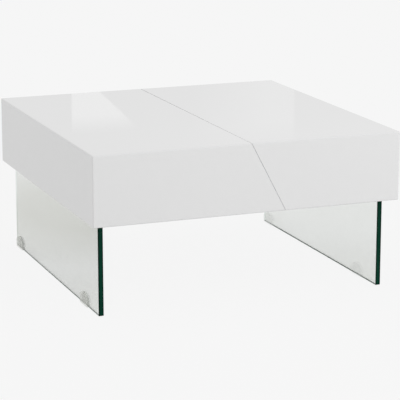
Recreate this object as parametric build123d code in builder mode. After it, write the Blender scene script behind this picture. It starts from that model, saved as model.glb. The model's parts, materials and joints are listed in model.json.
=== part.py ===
"""Lift-top coffee table: a square white gloss case on two glass leg panels.

The case is split by a leaning seam. The left half is fixed. The right half is a lid that stays level
while two parallel-arm mechanisms swing it up and out over the storage tray.

Frame: millimetres, +X along the table towards the lid, -Y to the front, +Z up, origin on the floor
under the middle of the case. Positive joint values open the lid.
"""

import os
from math import acos, atan2, cos, degrees, hypot, radians, sin, sqrt, tan

from build123d import *

os.makedirs("parts", exist_ok=True)

# Case
case_length = 750
case_depth = 750
case_height = 163
board = 18              # fixed outer boards
edge_radius = 3         # rounding of the outer arrises
seam_offset = 1.5       # where the seam crosses the top, right of the middle
seam_angle = 27.7       # lean of the seam from the vertical
seam_gap = 0.9
lid_gap = 2             # between the lid's boards and the tray that they slide over

# Tray
tray_board = 16
leg_board = 20
batten_height = 18
batten_width = 26
batten_inset = 3        # from the lid's seam edge or end board to a batten

# Glass legs and their glides
leg_drop = 215          # glass that shows below the case
leg_tuck = 80           # glass that stands up inside the case
glass = 12
leg_inset = 23          # end of the case to the glass
leg_setback = 40        # front and back of the case to the glass
glass_corner = 2
glass_arris = 0.6
glide_length = 58
glide_height = 31
glide_shoulder = 19
glide_round = 6         # lower corners of a glide
glide_wall = 2
glide_lift = 2
front_glide_inset = 77  # edge of the glass to the glide

# Fasteners of the legs
bolt_radius = 4
bolt_clearance = 0.1
bolts_per_leg = 4
bolt_edge = 95          # edge of the glass to the outer bolts
bolt_head_radius = 8
bolt_head = 3
bolt_end = 2
bush_radius = 7
gasket_radius = 14
gasket = 1
washer_radius = 11
washer = 1.2
nut_flats = 13
nut_height = 6.5

# Screws, dowels and bumpers of the boards
screw_radius = 2
screw_head_radius = 4
screw_head = 2.4
screw_point = 5         # wood left past a screw's point
dowel_radius = 4
dowel_above = 11
dowel_below = 19
bumper_radius = 6
seat_gap = 0.3          # air between a moving piece and what it rests on

# Lift mechanism
closed_angle = 174      # arm direction with the lid down, from +X towards +Z
open_angle = 75
link_x = 54             # from the lead pivot to the follower pivot
link_z = 37
follower_inset = 20     # leg board to the follower pivot
lead_height = 24        # tray floor to the lead pivot
lid_pivot_inset = 51    # lid's seam edge to the lead arm's upper pivot
arm_half_width = 10
arm = 5
plate = 3               # sheet steel of the brackets
boss_radius = 16        # bracket around a lower pivot
lug_radius = 14         # bracket around an upper pivot
foot_toe = 42           # bracket foot, from the rail into the tray
foot_overhang = 8
flange_width = 30
pin_radius = 5
pin_clearance = 0.05
open_pin_clearance = 0.3
pin_head_radius = 8
pin_head = 2
pin_overrun = 1.4
pivot_washer_radius = 9
pivot_washer = 1
clip_radius = 8
tube_radius = 9.5
tube_wall = 2
tube_bush_length = 12
stop_radius = 3.5
stop_reach = 30         # lead pivot to the open stop, along the open arm

# Torsion springs
wire_radius = 1.25
coil_standoff = 0.8     # tube to coil
coil_start = 4.5        # arm to the middle of the last turn
coil_turns = 4
coil_pitch = 3.45
spring_reach = 45       # lead pivot to the hook in the arm
hook_rise = 4
hook_bend = 3

# Levels and faces that follow from the sizes above
half_length = case_length / 2
half_depth = case_depth / 2
case_bottom = glide_lift + leg_drop
case_top = case_bottom + case_height
lid_board = board - lid_gap
lid_underside = case_top - lid_board
rail_top = case_top - board
tray_floor = case_bottom + tray_board
rail_outer = half_depth - board
rail_inner = rail_outer - tray_board
glass_outer = half_length - leg_inset
glass_inner = glass_outer - glass
glass_top = case_bottom + leg_tuck
glass_half_width = half_depth - leg_setback
leg_board_outer = glass_inner - gasket
leg_board_inner = leg_board_outer - leg_board
leg_board_top = tray_floor + leg_tuck
bolt_level = (tray_floor + leg_board_top) / 2
bolt_pitch = 2 * (glass_half_width - bolt_edge) / (bolts_per_leg - 1)
bolt_hole = bolt_radius + bolt_clearance
seam_slope = tan(radians(seam_angle))
lid_seam_edge = seam_offset + seam_gap / 2 + lid_board * seam_slope
fixed_seam_edge = seam_offset - seam_gap / 2

# Pivots, as (X, Z)
follower_pivot = (leg_board_inner - follower_inset, tray_floor + lead_height + link_z)
lead_pivot = (follower_pivot[0] - link_x, follower_pivot[1] - link_z)
arm_length = (lead_pivot[0] - lid_seam_edge - lid_pivot_inset) / -cos(radians(closed_angle))


def along(start, angle, reach, rise=0):
    """The point at a reach along a direction from start, and a rise square to it."""
    turn = radians(angle)
    return (
        start[0] + reach * cos(turn) - rise * sin(turn),
        start[1] + reach * sin(turn) + rise * cos(turn),
    )


lid_lead_pivot = along(lead_pivot, closed_angle, arm_length)
lid_follower_pivot = along(follower_pivot, closed_angle, arm_length)

# The mechanism's layers, each a distance from the rail's inner face towards the middle of the tray
arm_layer = plate + pivot_washer + seat_gap
inner_washer_layer = arm_layer + arm + seat_gap
lid_plate_layer = inner_washer_layer + pivot_washer
outer_clip_layer = arm_layer - seat_gap - pivot_washer


def save(piece, name):
    """Label a finished piece and write its STEP file."""
    piece.part.label = name
    export_step(piece.part, f"parts/{name}.step")


def save_pair(front, name):
    """Write a front piece and its mirror image at the back."""
    save(front, f"{name}_front")
    with BuildPart() as back:
        mirror(front.part, about=Plane.XZ)
    save(back, f"{name}_back")


def layer(start, thickness):
    """The sketch plane for a front mechanism layer, which is extruded by its thickness to the front."""
    return Plane.XZ.offset(rail_inner - start - thickness)


def kept_side(point, direction):
    """A cutting plane that keeps what lies towards its direction."""
    return Plane(origin=point, z_dir=direction)


def block(low, high):
    """Add a rectangular block between two corners to the open part."""
    with Locations(tuple((a + b) / 2 for a, b in zip(low, high))):
        Box(*[b - a for a, b in zip(low, high)])


# ---------------------------------------------------------------- screws, dowels and bumpers
def screws(seats, length):
    """Countersunk wood screws, each flush with its seat plane and driven against the plane's normal."""
    top = (Align.CENTER, Align.CENTER, Align.MAX)
    with BuildPart() as group:
        with Locations(*seats):
            Cylinder(screw_radius, length, align=top)
            Cone(screw_radius, screw_head_radius, screw_head, align=top)
    return group


def spread(low, high, count):
    """Evenly spaced places from low to high."""
    return [low + (high - low) * step / (count - 1) for step in range(count)]


fixed_end_inner = -half_length + board
fixed_screw_places = spread(fixed_end_inner + 2 * board, fixed_seam_edge - 4 * board, 3)
screw_levels = (tray_floor + 1.5 * tray_board, rail_top - 1.5 * tray_board)
fascia_screws = screws(
    [
        Plane((x, side * rail_inner, z), z_dir=(0, -side, 0))
        for side in (-1, 1)
        for x in fixed_screw_places
        for z in screw_levels
    ],
    tray_board + board - screw_point,
)
save(fascia_screws, "fascia_screws")

rail_middle = (rail_outer + rail_inner) / 2
leg_board_middle = (leg_board_outer + leg_board_inner) / 2
bottom_places = [
    (x, side * rail_middle)
    for side in (-1, 1)
    for x in spread(-leg_board_inner, leg_board_inner, 5)
] + [
    (side * leg_board_middle, y)
    for side in (-1, 1)
    for y in spread(-glass_half_width + bolt_pitch / 2, glass_half_width - bolt_pitch / 2, 4)
]
bottom_screws = screws(
    [Plane((x, y, case_bottom), z_dir=(0, 0, -1)) for x, y in bottom_places],
    2 * tray_board + screw_point,
)
save(bottom_screws, "bottom_screws")

stretcher_right = fixed_seam_edge - seam_gap
stretcher_left = stretcher_right - 2 * leg_board
stretcher_middle = (stretcher_left + stretcher_right) / 2
with BuildPart() as top_dowels:
    dowel_places = [(x, side * rail_middle) for side in (-1, 1) for x in fixed_screw_places]
    dowel_places += [(stretcher_middle, y) for y in spread(-rail_inner / 2, rail_inner / 2, 3)]
    with Locations(*[(x, y, rail_top - dowel_below) for x, y in dowel_places]):
        Cylinder(
            dowel_radius,
            dowel_above + dowel_below,
            align=(Align.CENTER, Align.CENTER, Align.MIN),
        )
save(top_dowels, "top_dowels")

bumper_places = [
    (x, side * rail_middle)
    for side in (-1, 1)
    for x in spread(lid_seam_edge + 2 * board, half_length - 2 * board, 3)
]
with BuildPart() as lid_bumpers:
    with Locations(*[(x, y, rail_top) for x, y in bumper_places]):
        Cylinder(
            bumper_radius,
            lid_gap - seat_gap,
            align=(Align.CENTER, Align.CENTER, Align.MIN),
        )
save(lid_bumpers, "lid_bumpers")


# ---------------------------------------------------------------- outer case: mitred boards
with BuildPart() as case:
    block((-half_length, -half_depth, case_bottom), (half_length, half_depth, case_top))
    fillet(case.edges(), edge_radius)

seam_normal = (cos(radians(seam_angle)), 0, sin(radians(seam_angle)))
against_seam_normal = tuple(-part for part in seam_normal)
fixed_seam = kept_side((fixed_seam_edge, 0, case_top), against_seam_normal)
lid_seam = kept_side((fixed_seam_edge + seam_gap, 0, case_top), seam_normal)


def case_board(planes, fasteners=()):
    """One board of the case: the rounded block inside its cutting planes, less its fasteners' holes."""
    with BuildPart() as piece:
        add(case.part)
        for plane in planes:
            split(bisect_by=plane, keep=Keep.TOP)
        for fastener in fasteners:
            add(fastener.part, mode=Mode.SUBTRACT)
    return piece


def shell_boards(end, seam, thickness, fasteners):
    """The top, front, back and end boards of one half of the case, with mitred joints.

    end is -1 for the left half and 1 for the right half.
    """
    end_x = end * half_length
    top = case_board(
        [
            kept_side((0, 0, case_top - thickness), (0, 0, 1)),
            kept_side((0, -half_depth, case_top), (0, 1, 1)),
            kept_side((0, half_depth, case_top), (0, -1, 1)),
            kept_side((end_x, 0, case_top), (-end, 0, 1)),
            seam,
        ],
        fasteners,
    )
    sides = [
        case_board(
            [
                kept_side((0, face * (half_depth - thickness), 0), (0, face, 0)),
                kept_side((0, face * half_depth, case_top), (0, face, -1)),
                kept_side((end_x, face * half_depth, 0), (-end, face, 0)),
                seam,
            ],
            fasteners,
        )
        for face in (-1, 1)
    ]
    end_board = case_board(
        [
            kept_side((end * (half_length - thickness), 0, 0), (end, 0, 0)),
            kept_side((end_x, 0, case_top), (end, 0, -1)),
            kept_side((end_x, -half_depth, 0), (end, 1, 0)),
            kept_side((end_x, half_depth, 0), (end, -1, 0)),
        ]
    )
    return top, sides[0], sides[1], end_board


fixed_top, fixed_front, fixed_back, fixed_end = shell_boards(
    -1, fixed_seam, board, [fascia_screws, top_dowels]
)
save(fixed_top, "fixed_top_board")
save(fixed_front, "fixed_front_fascia")
save(fixed_back, "fixed_back_fascia")
save(fixed_end, "fixed_end_board")


# ---------------------------------------------------------------- lift mechanism: shared places
foot_left = lead_pivot[0] - boss_radius - foot_overhang
foot_right = follower_pivot[0] + boss_radius
foot_middle = (foot_left + foot_right) / 2
foot_screw_row = rail_inner - foot_toe + foot_overhang
bracket_screw_seats = [
    Plane((x, -(rail_inner - plate), z), z_dir=(0, 1, 0))
    for x, z in (
        (foot_left + foot_overhang, tray_floor + plate + foot_overhang),
        (foot_right - foot_overhang, tray_floor + plate + foot_overhang),
        (foot_middle, tray_floor + plate + foot_overhang),
    )
]
foot_screw_seats = [
    Plane((x, -foot_screw_row, tray_floor + plate), z_dir=(0, 0, 1))
    for x in (foot_left + foot_overhang, foot_right - foot_overhang)
]
with BuildPart() as base_bracket_screws:
    add(screws(bracket_screw_seats + foot_screw_seats, plate + tray_board - screw_point).part)
    mirror(about=Plane.XZ)
save(base_bracket_screws, "base_bracket_screws")

flange_left = lid_lead_pivot[0] - lug_radius
flange_right = lid_follower_pivot[0] + lug_radius
flange_outer = rail_inner - lid_plate_layer
flange_inner = flange_outer - flange_width
flange_screw_row = (flange_outer - plate + flange_inner) / 2
flange_screw_seats = [
    Plane((x, -flange_screw_row, lid_underside - plate), z_dir=(0, 0, -1))
    for x in spread(flange_left + foot_overhang, flange_right - foot_overhang, 3)
]
with BuildPart() as lid_bracket_screws:
    add(screws(flange_screw_seats, plate + lid_board - screw_point).part)
    mirror(about=Plane.XZ)
save(lid_bracket_screws, "lid_bracket_screws")

seam_batten_left = lid_seam_edge + batten_inset
end_batten_right = half_length - lid_board - batten_inset
batten_half_length = rail_inner - lid_gap
batten_screws = screws(
    [
        Plane((x, y, lid_underside - batten_height), z_dir=(0, 0, -1))
        for x in (seam_batten_left + batten_width / 2, end_batten_right - batten_width / 2)
        for y in spread(-batten_half_length + 2 * board, batten_half_length - 2 * board, 4)
    ],
    batten_height + lid_board - screw_point,
)
save(batten_screws, "batten_screws")

# ---------------------------------------------------------------- lid boards and battens
lid_top, lid_front, lid_back, lid_end = shell_boards(
    1, lid_seam, lid_board, [lid_bracket_screws, batten_screws]
)
save(lid_top, "lid_top_board")
save(lid_front, "lid_front_fascia")
save(lid_back, "lid_back_fascia")
save(lid_end, "lid_end_board")


def lid_batten(left):
    """A wooden batten screwed across the underside of the lid."""
    with BuildPart() as piece:
        block(
            (left, -batten_half_length, lid_underside - batten_height),
            (left + batten_width, batten_half_length, lid_underside),
        )
        add(batten_screws.part, mode=Mode.SUBTRACT)
    return piece


save(lid_batten(seam_batten_left), "lid_seam_batten")
save(lid_batten(end_batten_right - batten_width), "lid_end_batten")

# ---------------------------------------------------------------- tray
with BuildPart() as front_rail:
    block(
        (fixed_end_inner, -rail_outer, tray_floor),
        (half_length - board, -rail_inner, rail_top),
    )
    for fasteners in (fascia_screws, bottom_screws, top_dowels, base_bracket_screws):
        add(fasteners.part, mode=Mode.SUBTRACT)
save_pair(front_rail, "tray_rail")

with BuildPart() as bottom_board:
    block(
        (-leg_board_outer, -rail_outer, case_bottom),
        (leg_board_outer, rail_outer, tray_floor),
    )
    for fasteners in (bottom_screws, base_bracket_screws):
        add(fasteners.part, mode=Mode.SUBTRACT)
save(bottom_board, "bottom_board")

with BuildPart() as seam_stretcher:
    block(
        (stretcher_left, -rail_inner, rail_top - leg_board),
        (stretcher_right, rail_inner, rail_top),
    )
    add(top_dowels.part, mode=Mode.SUBTRACT)
save(seam_stretcher, "seam_stretcher")


# ---------------------------------------------------------------- legs: glass, boards and bolts
def across_leg(start):
    """The sketch plane square to X at a distance from the middle; a leg's pieces are extruded in +X."""
    return Plane.YZ.offset(start)


def bolt_row():
    """The bolts of one leg, in a sketch plane square to X."""
    return GridLocations(bolt_pitch, 1, bolts_per_leg, 1)


def bolt_rings(outer, inner, start, thickness):
    """One ring around each bolt of the right leg."""
    with BuildPart() as rings:
        with BuildSketch(across_leg(start)):
            with Locations((0, bolt_level)), bolt_row():
                Circle(outer)
                Circle(inner, mode=Mode.SUBTRACT)
        extrude(amount=thickness)
    return rings


def both_legs(rings, name):
    """Write a group of pieces of the right leg together with the same pieces of the left leg."""
    with BuildPart() as group:
        for piece in rings:
            add(piece.part)
        mirror(about=Plane.YZ)
    save(group, name)


def save_leg_piece(right, name):
    """Write a piece of the right leg and its mirror image at the left leg."""
    save(right, f"{name}_right")
    with BuildPart() as left:
        mirror(right.part, about=Plane.YZ)
    save(left, f"{name}_left")


with BuildPart() as leg_board_right:
    with BuildSketch(across_leg(leg_board_inner)):
        with Locations((0, bolt_level)):
            Rectangle(2 * rail_inner, leg_board_top - tray_floor)
            with bolt_row():
                Circle(bolt_hole, mode=Mode.SUBTRACT)
    extrude(amount=leg_board)
    add(bottom_screws.part, mode=Mode.SUBTRACT)
save_leg_piece(leg_board_right, "leg_board")

with BuildPart() as glass_leg_right:
    with BuildSketch(across_leg(glass_inner)) as outline:
        with Locations((0, (glide_lift + glass_top) / 2)):
            Rectangle(2 * glass_half_width, glass_top - glide_lift)
        fillet(outline.vertices(), glass_corner)
        with Locations((0, bolt_level)), bolt_row():
            Circle(bush_radius, mode=Mode.SUBTRACT)
    extrude(amount=glass)
    faces_in_x = glass_leg_right.faces().sort_by(Axis.X)
    chamfer([faces_in_x[0].outer_wire().edges(), faces_in_x[-1].outer_wire().edges()], glass_arris)
save_leg_piece(glass_leg_right, "glass_leg")

head_face = glass_outer + washer
nut_face = leg_board_inner - washer
both_legs([bolt_rings(gasket_radius, bolt_hole, leg_board_outer, gasket)], "leg_gaskets")
both_legs([bolt_rings(bush_radius, bolt_hole, glass_inner, glass)], "leg_bushes")
both_legs(
    [
        bolt_rings(washer_radius, bolt_hole, glass_outer, washer),
        bolt_rings(washer_radius, bolt_hole, nut_face, washer),
    ],
    "leg_washers",
)

with BuildPart() as leg_bolts_right:
    with BuildSketch(across_leg(nut_face - nut_height - bolt_end)):
        with Locations((0, bolt_level)), bolt_row():
            Circle(bolt_radius)
    extrude(amount=head_face - nut_face + nut_height + bolt_end)
    with BuildSketch(across_leg(head_face)):
        with Locations((0, bolt_level)), bolt_row():
            Circle(bolt_head_radius)
    extrude(amount=bolt_head)
both_legs([leg_bolts_right], "leg_bolts")

with BuildPart() as leg_nuts_right:
    with BuildSketch(across_leg(nut_face - nut_height)):
        with Locations((0, bolt_level)), bolt_row():
            RegularPolygon(nut_flats / 2, 6, major_radius=False)
            Circle(bolt_radius, mode=Mode.SUBTRACT)
    extrude(amount=nut_height)
both_legs([leg_nuts_right], "leg_nuts")


def glide(low_y):
    """A clear plastic glide that clips on the lower edge of the right glass, from low_y backwards."""
    middle = glide_length / 2
    with BuildPart() as piece:
        with BuildSketch(across_leg(glass_inner - glide_wall)) as cheek:
            with BuildLine():
                Polyline(
                    (low_y, glide_shoulder),
                    (low_y, 0),
                    (low_y + glide_length, 0),
                    (low_y + glide_length, glide_shoulder),
                )
                ThreePointArc(
                    (low_y + glide_length, glide_shoulder),
                    (low_y + middle, glide_height),
                    (low_y, glide_shoulder),
                )
            make_face()
            fillet(cheek.vertices().sort_by(Axis.Y)[:2], glide_round)
        extrude(amount=glass + 2 * glide_wall)
        add(glass_leg_right.part, mode=Mode.SUBTRACT)
    return piece


save_leg_piece(glide(-glass_half_width + front_glide_inset), "front_glide")
save_leg_piece(glide(glass_half_width - glide_length), "back_glide")


# ---------------------------------------------------------------- lift mechanism: base side
def pivot_discs(centres, radius, start, thickness):
    """Round pieces on the front mechanism's pivots, in one layer."""
    with BuildPart() as discs:
        with BuildSketch(layer(start, thickness)):
            with Locations(*centres):
                Circle(radius)
        extrude(amount=thickness)
    return discs


def pivot_rings(centres, outer, start, thickness):
    """Washers or clips that fit closely around the front mechanism's pins, in one layer."""
    with BuildPart() as rings:
        with BuildSketch(layer(start, thickness)):
            with Locations(*centres):
                Circle(outer)
                Circle(pin_radius, mode=Mode.SUBTRACT)
        extrude(amount=thickness)
    return rings


def both_sides(pieces, name):
    """Write pieces of the front mechanism and their mirror images at the back as one group."""
    with BuildPart() as group:
        for piece in pieces:
            add(piece.part)
        mirror(about=Plane.XZ)
    save(group, name)


lower_pivots = (lead_pivot, follower_pivot)
upper_pivots = (lid_lead_pivot, lid_follower_pivot)
lead_pin_length = arm_layer + arm + tube_bush_length + pin_overrun
follower_pin_length = inner_washer_layer + pivot_washer + pin_overrun
lower_pins = [
    pivot_discs([lead_pivot], pin_radius, 0, lead_pin_length),
    pivot_discs([follower_pivot], pin_radius, 0, follower_pin_length),
]
both_sides(lower_pins, "lower_pivot_pins")
both_sides([pivot_rings(lower_pivots, pivot_washer_radius, plate, pivot_washer)], "lower_pivot_washers")
both_sides(
    [pivot_rings([follower_pivot], clip_radius, inner_washer_layer, pivot_washer)],
    "lower_pivot_clips",
)

open_stop = along(
    lead_pivot, open_angle, stop_reach, -(arm_half_width + stop_radius + seat_gap)
)
coil_radius = tube_radius + coil_standoff + wire_radius
spring_hook = along(lead_pivot, closed_angle, spring_reach, -hook_rise)
hook_distance = hypot(spring_reach, hook_rise)
coil_end_angle = (
    closed_angle - degrees(atan2(hook_rise, spring_reach)) - degrees(acos(coil_radius / hook_distance))
)
coil_length = coil_pitch * (coil_turns + coil_end_angle / 360)
coil_axis = Axis(
    (lead_pivot[0], -(rail_inner - arm_layer - arm - coil_start - coil_length), lead_pivot[1]),
    (0, -1, 0),
)
hook_tip_y = -(rail_inner - arm_layer - wire_radius)

# The wire rises from the bracket's foot, winds round the cross tube and hooks into the lead arm.
with BuildLine() as spring_wire:
    turns = Helix(
        coil_pitch,
        coil_length,
        coil_radius,
        center=coil_axis.position,
        direction=coil_axis.direction,
        mode=Mode.PRIVATE,
    )
    add(turns.rotate(coil_axis, 90))
    coil_start_point = spring_wire.line @ 0
    coil_end_point = spring_wire.line @ 1
    rising = spring_wire.line % 0
    leaving = spring_wire.line % 1
    foot_length = (coil_start_point.Z - tray_floor - wire_radius) / rising.Z
    spring_foot = coil_start_point - rising * foot_length
    Line(spring_foot, coil_start_point)
    hook_corner = coil_end_point + leaving * sqrt(hook_distance**2 - coil_radius**2)
    FilletPolyline(
        coil_end_point,
        hook_corner,
        (hook_corner.X, hook_tip_y, hook_corner.Z),
        radius=hook_bend,
    )

with BuildPart() as base_bracket:
    with BuildSketch(layer(0, plate)):
        with Locations(*lower_pivots):
            Circle(boss_radius)
        with Locations((foot_middle, tray_floor + boss_radius / 2)):
            Rectangle(foot_right - foot_left, boss_radius)
        make_hull()
    extrude(amount=plate)
    block(
        (foot_left, -rail_inner, tray_floor),
        (foot_right, -(rail_inner - foot_toe), tray_floor + plate),
    )
    add(pivot_discs([open_stop], stop_radius, plate, arm_layer + arm - plate).part)
    for pin in lower_pins:
        add(pin.part, mode=Mode.SUBTRACT)
    add(base_bracket_screws.part, mode=Mode.SUBTRACT)
    with BuildSketch(Plane.XY.offset(tray_floor)):
        with Locations((spring_foot.X, spring_foot.Y)):
            Circle(wire_radius + seat_gap)
    extrude(amount=plate, mode=Mode.SUBTRACT)
save_pair(base_bracket, "base_bracket")


with BuildPart() as torsion_spring:
    with BuildSketch(Plane(spring_foot, z_dir=rising)):
        Circle(wire_radius)
    sweep(path=spring_wire.wires()[0], is_frenet=True)
save_pair(torsion_spring, "torsion_spring")


# ---------------------------------------------------------------- lift mechanism: arms
def swing_arm(lower, upper, upper_clearance):
    """A flat steel arm from a lower to an upper pivot of the front mechanism."""
    middle = ((lower[0] + upper[0]) / 2, (lower[1] + upper[1]) / 2)
    with BuildPart() as piece:
        with BuildSketch(layer(arm_layer, arm)):
            with Locations(middle):
                SlotCenterToCenter(arm_length, 2 * arm_half_width, rotation=closed_angle - 180)
            with Locations(lower):
                Circle(pin_radius + pin_clearance, mode=Mode.SUBTRACT)
            with Locations(upper):
                Circle(pin_radius + upper_clearance, mode=Mode.SUBTRACT)
        extrude(amount=arm)
    return piece


with BuildPart() as lead_arm:
    add(swing_arm(lead_pivot, lid_lead_pivot, pin_clearance).part)
    with BuildSketch(layer(arm_layer, arm)):
        with Locations(spring_hook):
            Circle(wire_radius + seat_gap)
    extrude(amount=arm, mode=Mode.SUBTRACT)
save_pair(lead_arm, "lead_arm")
save_pair(swing_arm(follower_pivot, lid_follower_pivot, open_pin_clearance), "follower_arm")

tube_end = rail_inner - arm_layer - arm
with BuildPart() as cross_tube:
    with BuildSketch(Plane.XZ.offset(-tube_end)):
        with Locations(lead_pivot):
            Circle(tube_radius)
            Circle(tube_radius - tube_wall, mode=Mode.SUBTRACT)
    extrude(amount=2 * tube_end)
save(cross_tube, "cross_tube")

with BuildPart() as tube_bush:
    with BuildSketch(layer(arm_layer + arm, tube_bush_length)):
        with Locations(lead_pivot):
            Circle(tube_radius - tube_wall)
            Circle(pin_radius + pin_clearance, mode=Mode.SUBTRACT)
    extrude(amount=tube_bush_length)
both_sides([tube_bush], "tube_bushes")

# ---------------------------------------------------------------- lift mechanism: lid side
upper_pin_start = outer_clip_layer - pin_overrun / 2
upper_pin_end = lid_plate_layer + plate
upper_pins = [
    pivot_discs(upper_pivots, pin_radius, upper_pin_start, upper_pin_end - upper_pin_start),
    pivot_discs(upper_pivots, pin_head_radius, upper_pin_end, pin_head),
]
both_sides(upper_pins, "upper_pivot_pins")
both_sides(
    [pivot_rings(upper_pivots, pivot_washer_radius, inner_washer_layer, pivot_washer)],
    "upper_pivot_washers",
)
both_sides([pivot_rings(upper_pivots, clip_radius, outer_clip_layer, pivot_washer)], "upper_pivot_clips")

flange_middle = (flange_left + flange_right) / 2
with BuildPart() as lid_bracket:
    with BuildSketch(layer(lid_plate_layer, plate)):
        with Locations(*upper_pivots):
            Circle(lug_radius)
        with Locations((flange_middle, lid_underside - lug_radius / 2)):
            Rectangle(flange_right - flange_left, lug_radius)
        make_hull()
    extrude(amount=plate)
    block(
        (flange_left, -flange_outer, lid_underside - plate),
        (flange_right, -flange_inner, lid_underside),
    )
    for pins in upper_pins:
        add(pins.part, mode=Mode.SUBTRACT)
    add(lid_bracket_screws.part, mode=Mode.SUBTRACT)
save_pair(lid_bracket, "lid_bracket")
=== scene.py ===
"""Lift-top coffee table: a white gloss case in two halves, on two glass leg panels.

Sections follow the table as it is put together, and the studio comes last.
"""

import json
import math

import bmesh
import bpy
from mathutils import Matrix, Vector


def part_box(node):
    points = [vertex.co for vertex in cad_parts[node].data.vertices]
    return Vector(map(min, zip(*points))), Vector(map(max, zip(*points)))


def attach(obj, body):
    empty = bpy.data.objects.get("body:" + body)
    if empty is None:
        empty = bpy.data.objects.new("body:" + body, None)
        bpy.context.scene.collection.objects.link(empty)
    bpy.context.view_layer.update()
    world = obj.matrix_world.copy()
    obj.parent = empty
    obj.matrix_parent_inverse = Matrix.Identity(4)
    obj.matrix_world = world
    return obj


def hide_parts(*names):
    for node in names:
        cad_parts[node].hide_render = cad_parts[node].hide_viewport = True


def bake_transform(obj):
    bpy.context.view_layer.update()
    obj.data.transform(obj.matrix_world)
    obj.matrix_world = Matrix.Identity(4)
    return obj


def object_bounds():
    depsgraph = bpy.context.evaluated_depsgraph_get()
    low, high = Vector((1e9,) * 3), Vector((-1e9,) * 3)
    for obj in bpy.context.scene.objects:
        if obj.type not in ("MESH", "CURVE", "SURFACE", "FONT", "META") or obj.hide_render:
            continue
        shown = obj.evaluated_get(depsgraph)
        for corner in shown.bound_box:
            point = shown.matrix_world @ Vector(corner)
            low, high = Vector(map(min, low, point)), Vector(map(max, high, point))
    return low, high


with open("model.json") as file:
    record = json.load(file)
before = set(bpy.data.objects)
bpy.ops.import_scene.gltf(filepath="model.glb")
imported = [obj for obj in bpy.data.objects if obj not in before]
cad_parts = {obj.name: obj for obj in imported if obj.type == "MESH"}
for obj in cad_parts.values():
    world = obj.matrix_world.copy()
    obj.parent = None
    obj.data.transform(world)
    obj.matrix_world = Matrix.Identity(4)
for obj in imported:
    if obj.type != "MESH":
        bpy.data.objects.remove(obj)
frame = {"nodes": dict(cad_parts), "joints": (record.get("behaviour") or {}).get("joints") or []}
nodes = frame["nodes"]
cad_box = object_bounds()

# ---------------------------------------------------------------- camera
# A long lens looks down on the front and the left end from well above the top, far enough away
# that the uprights stay nearly upright.
camera = bpy.data.objects.new("camera", bpy.data.cameras.new("camera"))
camera.data.sensor_width = 36
camera.data.lens = 165.0
camera.data.clip_end = 60
camera.location = (-1.573, -4.089, 1.223)
camera.rotation_euler = (math.radians(76.423), 0, math.radians(-21.318))
bpy.context.scene.collection.objects.link(camera)
bpy.context.scene.camera = camera
bpy.context.scene.view_settings.view_transform = "Standard"

# ---------------------------------------------------------------- fixed half of the case
# Mitred MDF boards, filled, sanded and sprayed as one shell, so that no joint shows. The outer
# arrises are rounded by hand, and the leaning seam edge is only eased.
arris = 0.003
eased = 0.0005
seam_lean = math.tan(math.radians(27.7))
fixed_board = 0.018


def add_node(tree, kind, inputs=(), **settings):
    """One node. Its inputs are plain values or the outputs of other nodes."""
    made = tree.nodes.new(kind)
    for name, value in settings.items():
        setattr(made, name, value)
    for socket, value in dict(inputs).items():
        if isinstance(value, bpy.types.NodeSocket):
            tree.links.new(value, made.inputs[socket])
        else:
            made.inputs[socket].default_value = value
    return made


def new_group(name, kind, inputs, outputs):
    """An empty node group with named inputs and outputs: (tree, group input, group output)."""
    tree = bpy.data.node_groups.new(name, kind)
    for label, (socket, value) in inputs.items():
        made = tree.interface.new_socket(label, in_out="INPUT", socket_type=socket)
        if value is not None:
            made.default_value = value
    for label, socket in outputs.items():
        tree.interface.new_socket(label, in_out="OUTPUT", socket_type=socket)
    return tree, tree.nodes.new("NodeGroupInput"), tree.nodes.new("NodeGroupOutput")


def object_place(tree):
    """Object coordinates."""
    return add_node(tree, "ShaderNodeTexCoord").outputs["Object"]


def maths(tree, operation, *values):
    """A Math node on plain values or the outputs of other nodes."""
    return add_node(
        tree, "ShaderNodeMath", enumerate(values), operation=operation
    ).outputs[0]


def ramp(tree, value, start, end, low=0, high=1):
    """A value that goes from low to high as another goes from start to end, and stays there."""
    return add_node(
        tree,
        "ShaderNodeMapRange",
        {"Value": value, "From Min": start, "From Max": end, "To Min": low, "To Max": high},
    ).outputs[0]


def blend_colours(tree, share, first, second):
    """The colour that lies this share of the way from the first to the second."""
    return add_node(
        tree, "ShaderNodeMix", {0: share, 6: first, 7: second}, data_type="RGBA"
    ).outputs[2]


FLOAT, COLOUR = "NodeSocketFloat", "NodeSocketColor"
GEOMETRY, MATERIAL = "NodeSocketGeometry", "NodeSocketMaterial"

# Colour and sheen that drift over a surface, from handling, spray passes and polish.
drift, drift_in, drift_out = new_group(
    "finish_drift",
    "ShaderNodeTree",
    {
        "Colour": (COLOUR, (0.8, 0.8, 0.8, 1)),
        "Deep Colour": (COLOUR, (0.7, 0.7, 0.7, 1)),
        "Scale": (FLOAT, 4.0),
        "Sheen Low": (FLOAT, 0.1),
        "Sheen High": (FLOAT, 0.2),
    },
    {"Colour": COLOUR, "Roughness": FLOAT},
)
smear_fineness = 3.7        # the sheen drifts on a finer scale than the colour
place = object_place(drift)
cloud = add_node(
    drift,
    "ShaderNodeTexNoise",
    {"Vector": place, "Scale": drift_in.outputs["Scale"], "Detail": 4, "Roughness": 0.6},
)
shade = blend_colours(
    drift, cloud.outputs["Fac"], drift_in.outputs["Colour"], drift_in.outputs["Deep Colour"]
)
fine_scale = maths(drift, "MULTIPLY", drift_in.outputs["Scale"], smear_fineness)
smear = add_node(
    drift, "ShaderNodeTexNoise", {"Vector": place, "Scale": fine_scale, "Detail": 3}
)
sheen = ramp(
    drift,
    smear.outputs["Fac"],
    0.3,
    0.7,
    drift_in.outputs["Sheen Low"],
    drift_in.outputs["Sheen High"],
)
drift.links.new(shade, drift_out.inputs["Colour"])
drift.links.new(sheen, drift_out.inputs["Roughness"])

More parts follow.
